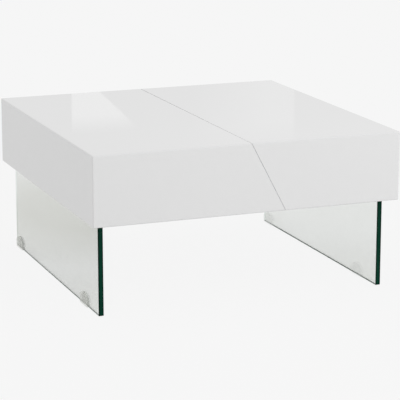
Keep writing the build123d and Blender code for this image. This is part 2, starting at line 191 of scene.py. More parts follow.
# The small rise and fall of a sprayed, moulded or rolled surface.
relief, relief_in, relief_out = new_group(
    "spray_relief",
    "ShaderNodeTree",
    {"Scale": (FLOAT, 100.0), "Grit": (FLOAT, 0.3)},
    {"Height": FLOAT},
)
grit_fineness = 6.0
place = object_place(relief)
swell = add_node(
    relief,
    "ShaderNodeTexNoise",
    {"Vector": place, "Scale": relief_in.outputs["Scale"], "Detail": 1},
)
grit_scale = maths(relief, "MULTIPLY", relief_in.outputs["Scale"], grit_fineness)
grit = add_node(
    relief, "ShaderNodeTexNoise", {"Vector": place, "Scale": grit_scale, "Detail": 2}
)
height = add_node(
    relief,
    "ShaderNodeMix",
    {0: relief_in.outputs["Grit"], 2: swell.outputs["Fac"], 3: grit.outputs["Fac"]},
)
relief.links.new(height.outputs[0], relief_out.inputs["Height"])


def new_material(name, **plain):
    """A material whose Principled shader has these plain values: (material, tree, shader)."""
    made = bpy.data.materials.new(name)
    made.use_nodes = True
    shader = made.node_tree.nodes["Principled BSDF"]
    for socket, value in plain.items():
        shader.inputs[socket.replace("_", " ")].default_value = value
    return made, made.node_tree, shader


def use_group(tree, group, **inputs):
    """A node group placed in a material with its own values."""
    made = tree.nodes.new("ShaderNodeGroup")
    made.node_tree = group
    for socket, value in inputs.items():
        made.inputs[socket.replace("_", " ")].default_value = value
    return made


def bump(tree, shader, height, depth, strength=1.0):
    """Height drives the shader's normal through a Bump node, depth in metres."""
    made = add_node(
        tree, "ShaderNodeBump", {"Strength": strength, "Distance": depth, "Height": height}
    )
    tree.links.new(made.outputs["Normal"], shader.inputs["Normal"])


def coated(name, colour, deep, scale, sheen, relief_scale, grit, depth, **plain):
    """A sprayed, moulded or rolled finish: drifting colour and sheen over a fine relief."""
    made, tree, shader = new_material(name, **plain)
    look = use_group(
        tree,
        drift,
        Colour=(*colour, 1),
        Deep_Colour=(*deep, 1),
        Scale=scale,
        Sheen_Low=sheen[0],
        Sheen_High=sheen[1],
    )
    tree.links.new(look.outputs["Colour"], shader.inputs["Base Color"])
    tree.links.new(look.outputs["Roughness"], shader.inputs["Roughness"])
    surface = use_group(tree, relief, Scale=relief_scale, Grit=grit)
    bump(tree, shader, surface.outputs["Height"], depth)
    return made


gloss_lacquer = coated(
    "gloss_lacquer",
    colour=(0.80, 0.80, 0.80),
    deep=(0.785, 0.785, 0.785),
    scale=2.5,
    sheen=(0.015, 0.035),
    relief_scale=60,
    grit=0.15,
    depth=0.00001,
    IOR=1.5,
)


def add_piece(name, mesh, body, *materials):
    """A finished mesh as an object at the origin that rides on a body."""
    for material in materials:
        mesh.materials.append(material)
    made = bpy.data.objects.new(name, mesh)
    bpy.context.scene.collection.objects.link(made)
    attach(made, body)
    return made


def applied(obj):
    """The object's mesh with its modifiers applied, which are then removed."""
    seen = obj.evaluated_get(bpy.context.evaluated_depsgraph_get())
    mesh = bpy.data.meshes.new_from_object(seen)
    bpy.data.objects.remove(obj)
    return mesh


def case_shell(low, high, board, seam_point, end, taper=0):
    """Half of the case, open below and at the seam: end is -1 for the left half, 1 for the right.

    taper is how far the seam moves along X for each metre towards the back.
    """
    end_x = low.x if end < 0 else high.x
    inner_x = end_x - end * board
    known_x, known_z = seam_point

    def outline(side_x, top_z, y):
        seam_x = known_x + taper * y + (known_z - top_z) * seam_lean
        foot_x = known_x + taper * y + (known_z - low.z) * seam_lean
        return [(side_x, y, low.z), (side_x, y, top_z), (seam_x, y, top_z), (foot_x, y, low.z)]

    rings = (
        outline(end_x, high.z, low.y),
        outline(end_x, high.z, high.y),
        outline(inner_x, high.z - board, low.y + board),
        outline(inner_x, high.z - board, high.y - board),
    )
    made = bmesh.new()
    front, back, front_in, back_in = [[made.verts.new(p) for p in ring] for ring in rings]
    for k in (0, 1):
        made.faces.new((front[k], front[k + 1], back[k + 1], back[k]))
        made.faces.new((front_in[k], back_in[k], back_in[k + 1], front_in[k + 1]))
    made.faces.new(front)
    made.faces.new(back[::-1])
    made.faces.new(front_in[::-1])
    made.faces.new(back_in)
    for k in (0, 2):
        made.faces.new((front[k], front[3], front_in[3], front_in[k]))
        made.faces.new((back[k], back_in[k], back_in[3], back[3]))
    made.faces.new((front[0], front_in[0], back_in[0], back[0]))
    made.faces.new((front[2], back[2], back_in[2], front_in[2]))
    bmesh.ops.recalc_face_normals(made, faces=made.faces)
    weight = made.edges.layers.float.new("bevel_weight_edge")
    outside = set(front + back)
    seam_side = {ring[k] for ring in (front, back, front_in, back_in) for k in (2, 3)}
    for edge in made.edges:
        ends = set(edge.verts)
        if ends <= outside and not ends <= seam_side:
            edge[weight] = 1.0
        elif ends <= seam_side:
            edge[weight] = eased / arris
        elif ends.isdisjoint(outside):
            edge[weight] = 0.0
    mesh = bpy.data.meshes.new("case_shell")
    made.to_mesh(mesh)
    made.free()
    rough = bpy.data.objects.new("case_shell", mesh)
    bpy.context.scene.collection.objects.link(rough)
    for polygon in mesh.polygons:
        polygon.use_smooth = True
    rounding = rough.modifiers.new("arrises", "BEVEL")
    rounding.width = arris
    rounding.segments = 4
    rounding.limit_method = "WEIGHT"
    rounding.harden_normals = True
    return applied(rough)


fixed_low, fixed_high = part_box("fixed_front_fascia")
case_low = Vector((cad_box[0][0], cad_box[0][1], fixed_low.z))
case_high = Vector(cad_box[1])
fixed_shell = add_piece(
    "fixed_shell",
    case_shell(case_low, case_high, fixed_board, (fixed_high.x, fixed_low.z), -1),
    "base",
    gloss_lacquer,
)
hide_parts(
    "fixed_top_board", "fixed_front_fascia", "fixed_back_fascia", "fixed_end_board"
)

# ---------------------------------------------------------------- tray
# The rails, bottom and leg boards are chipboard faced with white melamine: a flat off-white with a
# fine pressed texture, screwed together from below.
melamine = coated(
    "white_melamine",
    colour=(0.78, 0.78, 0.765),
    deep=(0.74, 0.74, 0.72),
    scale=3,
    sheen=(0.32, 0.45),
    relief_scale=900,
    grit=0.5,
    depth=0.00004,
)


def dress(material, *names):
    """CAD nodes that keep their shape take a material."""
    for name in names:
        for slot in nodes[name].material_slots:
            slot.material = material


dress(
    melamine,
    "bottom_board",
    "tray_rail_front",
    "tray_rail_back",
    "leg_board_left",
    "leg_board_right",
)

# ---------------------------------------------------------------- stretcher, battens and dowels
# Planed beech: a stretcher under the seam, two battens across the lid, and fluted dowels. The grain
# runs along each stick, with short dark flecks.
grain, grain_in, grain_out = new_group(
    "beech_grain",
    "ShaderNodeTree",
    {
        "Pale Colour": (COLOUR, (0.7, 0.5, 0.3, 1)),
        "Ring Colour": (COLOUR, (0.5, 0.3, 0.2, 1)),
        "Ring Scale": (FLOAT, 60.0),
        "Fleck Scale": (FLOAT, 300.0),
    },
    {"Colour": COLOUR, "Height": FLOAT},
)
grain_stretch = 0.06        # scale along the grain, which draws the figure out about 17 times
sway = 0.03
fleck_from, fleck_full = 0.58, 0.72
ring_strength = 0.45
place = object_place(grain)
along_y = add_node(
    grain, "ShaderNodeMapping", {"Vector": place, "Scale": (1, grain_stretch, 1)}
)
warp = add_node(
    grain, "ShaderNodeTexNoise", {"Vector": along_y.outputs[0], "Scale": 30, "Detail": 3}
)
bent = add_node(
    grain,
    "ShaderNodeVectorMath",
    {0: warp.outputs["Color"], 1: (sway, sway, sway)},
    operation="MULTIPLY",
)
swayed = add_node(
    grain, "ShaderNodeVectorMath", {0: along_y.outputs[0], 1: bent.outputs[0]}, operation="ADD"
)
rings = add_node(
    grain,
    "ShaderNodeTexWave",
    {
        "Vector": swayed.outputs[0],
        "Scale": grain_in.outputs["Ring Scale"],
        "Distortion": 2.0,
        "Detail": 2,
        "Detail Scale": 2.0,
    },
    bands_direction="X",
)
fleck = add_node(
    grain,
    "ShaderNodeTexNoise",
    {"Vector": along_y.outputs[0], "Scale": grain_in.outputs["Fleck Scale"], "Detail": 2},
)
fleck_mask = ramp(grain, fleck.outputs["Fac"], fleck_from, fleck_full)
ring_share = maths(grain, "MULTIPLY", rings.outputs["Fac"], ring_strength)
dark_share = maths(grain, "MAXIMUM", ring_share, fleck_mask)
timber = blend_colours(
    grain, dark_share, grain_in.outputs["Pale Colour"], grain_in.outputs["Ring Colour"]
)
grain.links.new(timber, grain_out.inputs["Colour"])
grain.links.new(rings.outputs["Fac"], grain_out.inputs["Height"])


def planed(name, pale, ring, ring_scale, roughness):
    """Bare planed wood with its grain along Y."""
    made, tree, shader = new_material(name, Roughness=roughness)
    look = use_group(
        tree,
        grain,
        Pale_Colour=(*pale, 1),
        Ring_Colour=(*ring, 1),
        Ring_Scale=ring_scale,
        Fleck_Scale=320,
    )
    tree.links.new(look.outputs["Colour"], shader.inputs["Base Color"])
    bump(tree, shader, look.outputs["Height"], 0.00008, 0.6)
    return made


beech = planed("planed_beech", (0.62, 0.44, 0.27), (0.40, 0.25, 0.13), 70, 0.55)
dress(beech, "seam_stretcher", "lid_seam_batten", "lid_end_batten")
dress(planed("beech_dowel", (0.66, 0.49, 0.31), (0.45, 0.29, 0.16), 160, 0.6), "top_dowels")

# ---------------------------------------------------------------- glass legs
# Two panels of 12 mm float glass. The broad faces are clear with a faint tint, the polished edges
# are bottle green, and the grinding wheel leaves a hair of frost where a face meets its arris.
def mix_shaders(tree, share, first, second):
    """The shader between two others: all of the first at 0, all of the second at 1."""
    return add_node(
        tree, "ShaderNodeMixShader", {0: share, 1: first, 2: second}
    ).outputs[0]


clear_glass, glass_tree, glass_shader = new_material(
    "float_glass",
    Base_Color=(0.86, 0.877, 0.862, 1),
    Roughness=0.0,
    IOR=1.5,
    Transmission_Weight=1.0,
)
surface = use_group(glass_tree, relief, Scale=9, Grit=0.02)
bump(glass_tree, glass_shader, surface.outputs["Height"], 0.0001, 0.15)
lamp_ray = add_node(glass_tree, "ShaderNodeLightPath").outputs["Is Shadow Ray"]
let_through = add_node(glass_tree, "ShaderNodeBsdfTransparent", {"Color": (0.88, 0.9, 0.88, 1)})
glass_mix = mix_shaders(glass_tree, lamp_ray, glass_shader.outputs[0], let_through.outputs[0])
glass_tree.links.new(glass_mix, glass_tree.nodes["Material Output"].inputs["Surface"])

glass_low, glass_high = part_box("glass_leg_right")
glass_middle = (glass_low.x + glass_high.x) / 2
glass_half = (glass_high.x - glass_low.x) / 2
core_share, side_share = 0.35, 0.95     # of the half thickness: the core ends, the sides are full
# Painted shade: the polished edge darkens towards this green near both faces of the glass.
painted_shade_green = (0.0003, 0.007, 0.004, 1)


def edge_green(name):
    """The green of float glass seen through its length, with painted shade: darker towards both
    faces than in the core.
    """
    made = coated(
        name,
        colour=(0.0010, 0.045, 0.025),
        deep=(0.0005, 0.030, 0.016),
        scale=30,
        sheen=(0.05, 0.16),
        relief_scale=500,
        grit=0.4,
        depth=0.00002,
        IOR=1.5,
        Specular_IOR_Level=0.05,
    )
    tree = made.node_tree
    across = add_node(tree, "ShaderNodeSeparateXYZ", {0: object_place(tree)}).outputs["X"]
    outward = maths(tree, "ABSOLUTE", across)
    off_middle = maths(tree, "ABSOLUTE", maths(tree, "SUBTRACT", outward, glass_middle))
    side = ramp(tree, off_middle, core_share * glass_half, side_share * glass_half)
    shader = tree.nodes["Principled BSDF"]
    core = shader.inputs["Base Color"].links[0].from_socket
    tree.links.new(blend_colours(tree, side, core, painted_shade_green), shader.inputs["Base Color"])
    return made


# The lower edge stays dark from inside the glass too. The uprights and the top let that light out.
lower_edge = edge_green("lower_green_edge")
upright_edge = edge_green("upright_green_edge")
tree = upright_edge.node_tree
inside = add_node(tree, "ShaderNodeNewGeometry").outputs["Backfacing"]
way_out = add_node(tree, "ShaderNodeBsdfTransparent", {"Color": (0.86, 0.9, 0.88, 1)})
edge_mix = mix_shaders(
    tree, inside, tree.nodes["Principled BSDF"].outputs[0], way_out.outputs[0]
)
tree.links.new(edge_mix, tree.nodes["Material Output"].inputs["Surface"])
frosted_rim = coated(
    "frosted_rim",
    colour=(0.78, 0.86, 0.81),
    deep=(0.66, 0.76, 0.70),
    scale=60,
    sheen=(0.35, 0.6),
    relief_scale=2500,
    grit=0.5,
    depth=0.00003,
)
rim_width = 0.0009
weld = 0.000002             # corners of a CAD mesh closer than this are one
CLEAR, LOWER, UPRIGHT, RIM = range(4)


def merged_copy(name):
    """A CAD node's mesh, copied, with its loose triangles joined."""
    mesh = nodes[name].data.copy()
    mesh.materials.clear()
    made = bmesh.new()
    made.from_mesh(mesh)
    bmesh.ops.remove_doubles(made, verts=made.verts, dist=weld)
    bmesh.ops.dissolve_limit(
        made, angle_limit=math.radians(0.5), verts=made.verts, edges=made.edges
    )
    made.to_mesh(mesh)
    made.free()
    return mesh


for side in ("left", "right"):
    panel = merged_copy(f"glass_leg_{side}")
    made = bmesh.new()
    made.from_mesh(panel)
    broad = [face for face in made.faces if abs(face.normal.x) > 0.9]
    for face in made.faces:
        face.material_index = LOWER if face.normal.z < -0.3 else UPRIGHT
    rims = bmesh.ops.inset_region(made, faces=broad, thickness=rim_width)["faces"]
    for face in broad:
        face.material_index = CLEAR
    for face in rims:
        face.material_index = RIM
    made.to_mesh(panel)
    made.free()
    leg = add_piece(
        f"glass_panel_{side}", panel, "base", clear_glass, lower_edge, upright_edge, frosted_rim
    )
    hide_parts(f"glass_leg_{side}")

# ---------------------------------------------------------------- glides
# Four clear plastic clips pushed on the lower edge of the glass, so that it never meets the floor:
# a D-shaped cheek on each side and softly moulded edges. The left pair is milkier than the right:
# the right pair, in the table's shade, is made paler and clearer, as painted light.
moulded_round = 0.0006
wall_facing, rim_facing = 0.55, 1.0     # how far a surface turns away, for the two alphas


def clouded_plastic(name, colour, deep, wall_alpha, rim_alpha):
    """Clear plastic with a milky bloom. The alphas are for a wall seen face on and seen along."""
    made = coated(
        name,
        colour=colour,
        deep=deep,
        scale=90,
        sheen=(0.10, 0.25),
        relief_scale=180,
        grit=0.3,
        depth=0.0002,
        IOR=1.47,
    )
    tree = made.node_tree
    along = add_node(tree, "ShaderNodeLayerWeight", {"Blend": 0.5}).outputs["Facing"]
    clouding = ramp(tree, along, wall_facing, rim_facing, wall_alpha, rim_alpha)
    inside = add_node(tree, "ShaderNodeNewGeometry").outputs["Backfacing"]
    bloom = maths(tree, "MULTIPLY", clouding, maths(tree, "SUBTRACT", 1.0, inside))
    tree.links.new(bloom, tree.nodes["Principled BSDF"].inputs["Alpha"])
    return made


milky = clouded_plastic("milky_plastic", (0.78, 0.79, 0.74), (0.64, 0.65, 0.60), 0.42, 0.75)
# Painted light: this plastic is paler and clearer to lift the shade under the table off the right
# pair.
faint = clouded_plastic("paler_plastic_against_shade", (0.88, 0.89, 0.87), (0.82, 0.83, 0.81), 0.08, 0.32)
for place_name, bloom in (
    ("front_glide_left", milky),
    ("back_glide_left", milky),
    ("front_glide_right", faint),
    ("back_glide_right", faint),
):
    rough = bpy.data.objects.new(place_name, merged_copy(place_name))
    bpy.context.scene.collection.objects.link(rough)
    softening = rough.modifiers.new("moulded edges", "BEVEL")
    softening.width = moulded_round
    softening.segments = 2
    softening.limit_method = "ANGLE"
    softening.angle_limit = math.radians(50)
    clip = add_piece(f"clip_{place_name}", applied(rough), "base", bloom)
    for polygon in clip.data.polygons:
        polygon.use_smooth = False
    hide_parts(place_name)

# ---------------------------------------------------------------- leg bolts, nuts and their rings
# Each panel hangs on four button-head bolts that pass through nylon bushes in the glass, a rubber
# gasket and the leg board, with zinc-plated washers and hexagon nuts on the tray side.
zinc_plate = coated(
    "zinc_plate",
    colour=(0.70, 0.71, 0.72),
    deep=(0.58, 0.58, 0.55),
    scale=140,
    sheen=(0.24, 0.42),
    relief_scale=1600,
    grit=0.5,
    depth=0.00002,
    Metallic=1.0,
)
nylon = coated(
    "white_nylon",
    colour=(0.78, 0.77, 0.72),
    deep=(0.70, 0.69, 0.63),
    scale=80,
    sheen=(0.35, 0.5),
    relief_scale=900,
    grit=0.5,
    depth=0.00003,
)
rubber = coated(
    "grey_rubber",
    colour=(0.10, 0.10, 0.10),
    deep=(0.06, 0.06, 0.06),
    scale=90,
    sheen=(0.6, 0.8),
    relief_scale=1400,
    grit=0.7,
    depth=0.00006,
)
dress(zinc_plate, "leg_washers")
dress(nylon, "leg_bushes")
dress(rubber, "leg_gaskets")


def solids_of(name):
    """The corner points of each solid of a CAD node."""
    made = bmesh.new()
    made.from_mesh(nodes[name].data)
    bmesh.ops.remove_doubles(made, verts=made.verts, dist=weld)
    left = set(made.verts)
    found = []
    while left:
        reached = [left.pop()]
        for vert in reached:
            for edge in vert.link_edges:
                other = edge.other_vert(vert)
                if other in left:
                    left.remove(other)
                    reached.append(other)
        found.append([vert.co.copy() for vert in reached])
    made.free()
    return found


def seats(name):
    """Each fastener of a CAD node: the middle of its head's outer face, and the way it points."""
    found = []
    for points in solids_of(name):
        low = Vector([min(p[k] for p in points) for k in range(3)])
        high = Vector([max(p[k] for p in points) for k in range(3)])
        size = high - low
        middle = (low + high) / 2
        axis = max(range(3), key=lambda k: min(abs(size[k] - size[m]) for m in range(3) if m != k))

        def reach(end):
            return max((p - middle).length_squared for p in points if abs(p[axis] - end) < 1e-5)

        head = max((low[axis], high[axis]), key=reach)
        middle[axis] = head
        way = Vector((0, 0, 0))
        way[axis] = math.copysign(1, (low[axis] + high[axis]) / 2 - head)
        found.append((middle, way))
    return found


def fastener_tree(name, sizes):
    """A tree that sets a fastener, built down its -Z axis, on every point along its "way"."""
    tree, start, end = new_group(
        name,
        "GeometryNodeTree",
        {
            "Seats": (GEOMETRY, None),
            **{label: (FLOAT, value) for label, value in sizes.items()},
            "Finish": (MATERIAL, None),
        },
        {"Fasteners": GEOMETRY},
    )
    return tree, start.outputs, end.inputs["Fasteners"]


def cylinder(tree, sides, radius, depth, top):
    """A cylinder along Z whose upper face lies at a height. Sizes are values or sockets."""
    drum = add_node(
        tree, "GeometryNodeMeshCylinder", {"Vertices": sides, "Radius": radius, "Depth": depth}
    )
    lift = add_node(
        tree, "ShaderNodeCombineXYZ", {"Z": maths(tree, "MULTIPLY_ADD", depth, -0.5, top)}
    )
    moved = add_node(
        tree,
        "GeometryNodeTransform",
        {"Geometry": drum.outputs["Mesh"], "Translation": lift.outputs[0]},
    )
    return moved.outputs[0]


def cone(tree, sides, radius_top, radius_bottom, depth, top):
    """A cone frustum along Z whose upper face lies at a height."""
    frustum = add_node(
        tree,
        "GeometryNodeMeshCone",
        {
            "Vertices": sides,
            "Radius Top": radius_top,
            "Radius Bottom": radius_bottom,
            "Depth": depth,
        },
    )
    lift = add_node(tree, "ShaderNodeCombineXYZ", {"Z": maths(tree, "SUBTRACT", top, depth)})
    moved = add_node(
        tree,
        "GeometryNodeTransform",
        {"Geometry": frustum.outputs["Mesh"], "Translation": lift.outputs[0]},
    )
    return moved.outputs[0]


def combine(tree, operation, first, *others):
    """The union, difference or intersection of closed meshes."""
    made = tree.nodes.new("GeometryNodeMeshBoolean")
    made.operation = operation
    if operation == "DIFFERENCE":
        tree.links.new(first, made.inputs["Mesh 1"])
    else:
        others = (first, *others)
    for other in others:
        tree.links.new(other, made.inputs["Mesh 2"])
    return made.outputs["Mesh"]


def set_on_seats(tree, start, end, fastener):
    """One copy at each seat, turned along the seat's way, with a chance turn about its own axis."""
    way = add_node(
        tree, "GeometryNodeInputNamedAttribute", {"Name": "way"}, data_type="FLOAT_VECTOR"
    )
    back = add_node(
        tree,
        "ShaderNodeVectorMath",
        {0: way.outputs["Attribute"], 1: (-1, -1, -1)},
        operation="MULTIPLY",
    )
    aim = add_node(tree, "FunctionNodeAlignRotationToVector", {"Vector": back.outputs[0]}, axis="Z")
    chance = add_node(
        tree,
        "FunctionNodeRandomValue",
        {"Min": (0, 0, 0), "Max": (0, 0, 3.14), "Seed": 7},
        data_type="FLOAT_VECTOR",
    )
    turn = add_node(
        tree,
        "FunctionNodeRotateRotation",
        {"Rotation": aim.outputs[0], "Rotate By": chance.outputs["Value"]},
        rotation_space="LOCAL",
    )
    copies = add_node(
        tree,
        "GeometryNodeInstanceOnPoints",
        {"Points": start["Seats"], "Instance": fastener, "Rotation": turn.outputs[0]},
    )
    real = add_node(tree, "GeometryNodeRealizeInstances", {"Geometry": copies.outputs[0]})
    flat = add_node(
        tree, "GeometryNodeSetShadeSmooth", {"Geometry": real.outputs[0], "Shade Smooth": False}
    )
    finish = add_node(
        tree,
        "GeometryNodeSetMaterial",
        {"Geometry": flat.outputs[0], "Material": start["Finish"]},
    )
    tree.links.new(finish.outputs[0], end)


def set_fasteners(name, tree, sizes, material, body, slot, *cad_names):
    """Runs a fastener tree on the seats of CAD nodes, which the result replaces."""
    found = [seat for cad_name in cad_names for seat in seats(cad_name)]
    mesh = bpy.data.meshes.new(name)
    mesh.from_pydata([middle for middle, way in found], [], [])
    ways = mesh.attributes.new("way", "FLOAT_VECTOR", "POINT")
    for item, (middle, way) in zip(ways.data, found):
        item.vector = way
    rough = bpy.data.objects.new(name, mesh)
    bpy.context.scene.collection.objects.link(rough)
    setter = rough.modifiers.new(name, "NODES")
    setter.node_group = tree
    sockets = {item.name: item.identifier for item in tree.interface.items_tree}
    for label, value in sizes.items():
        setter[sockets[label]] = value
    setter[sockets["Finish"]] = material
    made = add_piece(name, applied(rough), body)
    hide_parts(*cad_names)


# The shoulder is a share of the head's radius, the dome and rim are shares of its height.
shoulder_share, dome_share, rim_share = 0.7, 0.6, 0.4
bolt_shank_start = 0.0005       # below the head's outer face
socket_length, socket_top = 0.003, 0.001
button_bolt, start, end = fastener_tree(
    "button_bolt",
    {"Shank Radius": 0.004, "Head Radius": 0.008, "Head": 0.003, "Length": 0.05, "Socket": 0.0029},
)
shoulder = maths(button_bolt, "MULTIPLY", start["Head Radius"], shoulder_share)
dome_height = maths(button_bolt, "MULTIPLY", start["Head"], dome_share)
rim_height = maths(button_bolt, "MULTIPLY", start["Head"], rim_share)
rim_top = maths(button_bolt, "SUBTRACT", 0.0, dome_height)
head = combine(
    button_bolt,
    "UNION",
    cone(button_bolt, 32, shoulder, start["Head Radius"], dome_height, 0.0),
    cylinder(button_bolt, 32, start["Head Radius"], rim_height, rim_top),
    cylinder(button_bolt, 20, start["Shank Radius"], start["Length"], -bolt_shank_start),
)
socket = cylinder(button_bolt, 6, start["Socket"], socket_length, socket_top)
set_on_seats(button_bolt, start, end, combine(button_bolt, "DIFFERENCE", head, socket))

first_bolt = solids_of("leg_bolts")[0]
bolt_reach = max(p.x for p in first_bolt) - min(p.x for p in first_bolt)
set_fasteners(
    "leg_button_bolts",
    button_bolt,
    {"Length": bolt_reach - bolt_shank_start},
    zinc_plate,
    "base",
    "zinc_steel",
    "leg_bolts",
)

# The cone that chamfers the nut's corners is wider and deeper than the nut by these factors.
crown_widening, crown_deepening = 2.5, 1.6
crown_lift = 0.00001            # keeps its small end off the nut's face
bore_length, bore_top = 0.03, 0.01
hexagon_nut, start, end = fastener_tree(
    "hexagon_nut", {"Corner Radius": 0.0075, "Bore": 0.00405, "Height": 0.0065, "Crown": 0.0012}
)
flank = cylinder(hexagon_nut, 6, start["Corner Radius"], start["Height"], 0.0)
crown_radius = maths(hexagon_nut, "SUBTRACT", start["Corner Radius"], start["Crown"])
wide_radius = maths(hexagon_nut, "MULTIPLY", start["Corner Radius"], crown_widening)
wide_depth = maths(hexagon_nut, "MULTIPLY", start["Height"], crown_deepening)
crown = cone(hexagon_nut, 32, crown_radius, wide_radius, wide_depth, crown_lift)
bore = cylinder(hexagon_nut, 24, start["Bore"], bore_length, bore_top)
nut = combine(
    hexagon_nut, "DIFFERENCE", combine(hexagon_nut, "INTERSECT", flank, crown), bore
)
set_on_seats(hexagon_nut, start, end, nut)
set_fasteners(
    "leg_hexagon_nuts", hexagon_nut, {}, zinc_plate, "base", "zinc_steel", "leg_nuts"
)

# ---------------------------------------------------------------- wood screws
# Countersunk screws with a cross recess, driven flush: through the bottom, the rails and the
# mechanism's brackets on the base, and through the battens and flanges into the lid.
screw_shank_start = 0.001       # below the head's outer face
wood_screw, start, end = fastener_tree(
    "wood_screw",
    {
        "Shank Radius": 0.002,
        "Head Radius": 0.004,
        "Head": 0.0024,
        "Length": 0.03,
        "Recess Length": 0.0042,
        "Recess Width": 0.001,
        "Recess Depth": 0.0016,
    },
)
body = combine(
    wood_screw,
    "UNION",
    cone(wood_screw, 24, start["Head Radius"], start["Shank Radius"], start["Head"], 0.0),
    cylinder(wood_screw, 12, start["Shank Radius"], start["Length"], -screw_shank_start),
)
recess_size = add_node(
    wood_screw,
    "ShaderNodeCombineXYZ",
    {"X": start["Recess Length"], "Y": start["Recess Width"], "Z": start["Recess Depth"]},
)
blade = add_node(wood_screw, "GeometryNodeMeshCube", {"Size": recess_size.outputs[0]})
crossed = add_node(
    wood_screw,
    "GeometryNodeTransform",
    {"Geometry": blade.outputs["Mesh"], "Rotation": (0, 0, math.pi / 2)},
)
cross = combine(wood_screw, "UNION", blade.outputs["Mesh"], crossed.outputs[0])
set_on_seats(wood_screw, start, end, combine(wood_screw, "DIFFERENCE", body, cross))

for group, body_name in (
    ("fascia_screws", "base"),
    ("bottom_screws", "base"),
    ("base_bracket_screws", "base"),
    ("lid_bracket_screws", "lid"),
    ("batten_screws", "lid"),
):
    solid = solids_of(group)[0]
    screw_length = max(
        max(p[k] for p in solid) - min(p[k] for p in solid) for k in range(3)
    )
    set_fasteners(
        f"crosshead_{group}",
        wood_screw,
        {"Length": screw_length - screw_shank_start},
        zinc_plate,
        body_name,
        "zinc_steel",
        group,
    )

# ---------------------------------------------------------------- lift mechanism
# Flat steel arms and pressed brackets, powder coated in grey with a fine orange peel. The pins,
# washers and spring clips are zinc plated, and nylon bushes carry the cross tube.
powder_coat = coated(
    "grey_powder_coat",
    colour=(0.36, 0.37, 0.39),
    deep=(0.31, 0.32, 0.34),
    scale=12,
    sheen=(0.35, 0.48),
    relief_scale=700,
    grit=0.35,
    depth=0.00012,
)
dress(
    powder_coat,
    "base_bracket_front",
    "base_bracket_back",
    "lead_arm_front",
    "lead_arm_back",
    "follower_arm_front",
    "follower_arm_back",
    "cross_tube",
    "lid_bracket_front",
    "lid_bracket_back",
)
dress(
    zinc_plate,
    "lower_pivot_pins",
    "lower_pivot_washers",
    "lower_pivot_clips",
    "upper_pivot_pins",
    "upper_pivot_washers",
    "upper_pivot_clips",
)
dress(nylon, "tube_bushes")

# ---------------------------------------------------------------- torsion springs
# A coil of oiled spring wire round each end of the cross tube. Its foot stands in the bracket and
# its hook pulls on the lead arm, so the coil winds down as the lid rises.
wire_radius = 0.00125
coil_radius = 0.01155
coil_pitch = 0.00345
coil_turns = 4
coil_steps = 28                 # straight pieces in one turn
coil_to_arm = 0.0045            # end of the coil's centre line to the inner face of the lead arm
hook_bend = 0.003
hook_steps = 6

spring_wire_finish = coated(
    "oiled_spring_wire",
    colour=(0.22, 0.22, 0.23),
    deep=(0.13, 0.13, 0.14),
    scale=120,
    sheen=(0.25, 0.4),
    relief_scale=1500,
    grit=0.5,
    depth=0.00003,
    Metallic=1.0,
)
drawn_wire, start, end = new_group(
    "drawn_wire",
    "GeometryNodeTree",
    {
        "Path": (GEOMETRY, None),
        "Radius": (FLOAT, wire_radius),
        "Finish": (MATERIAL, None),
    },
    {"Wire": GEOMETRY},
)
line = add_node(drawn_wire, "GeometryNodeMeshToCurve", {"Mesh": start.outputs["Path"]})
section = add_node(
    drawn_wire,
    "GeometryNodeCurvePrimitiveCircle",
    {"Resolution": 12, "Radius": start.outputs["Radius"]},
)
swept = add_node(
    drawn_wire,
    "GeometryNodeCurveToMesh",
    {"Curve": line.outputs[0], "Profile Curve": section.outputs[0], "Fill Caps": True},
)
real = add_node(drawn_wire, "GeometryNodeRealizeInstances", {"Geometry": swept.outputs[0]})
finish = add_node(
    drawn_wire,
    "GeometryNodeSetMaterial",
    {"Geometry": real.outputs[0], "Material": start.outputs["Finish"]},
)
drawn_wire.links.new(finish.outputs[0], end.inputs["Wire"])

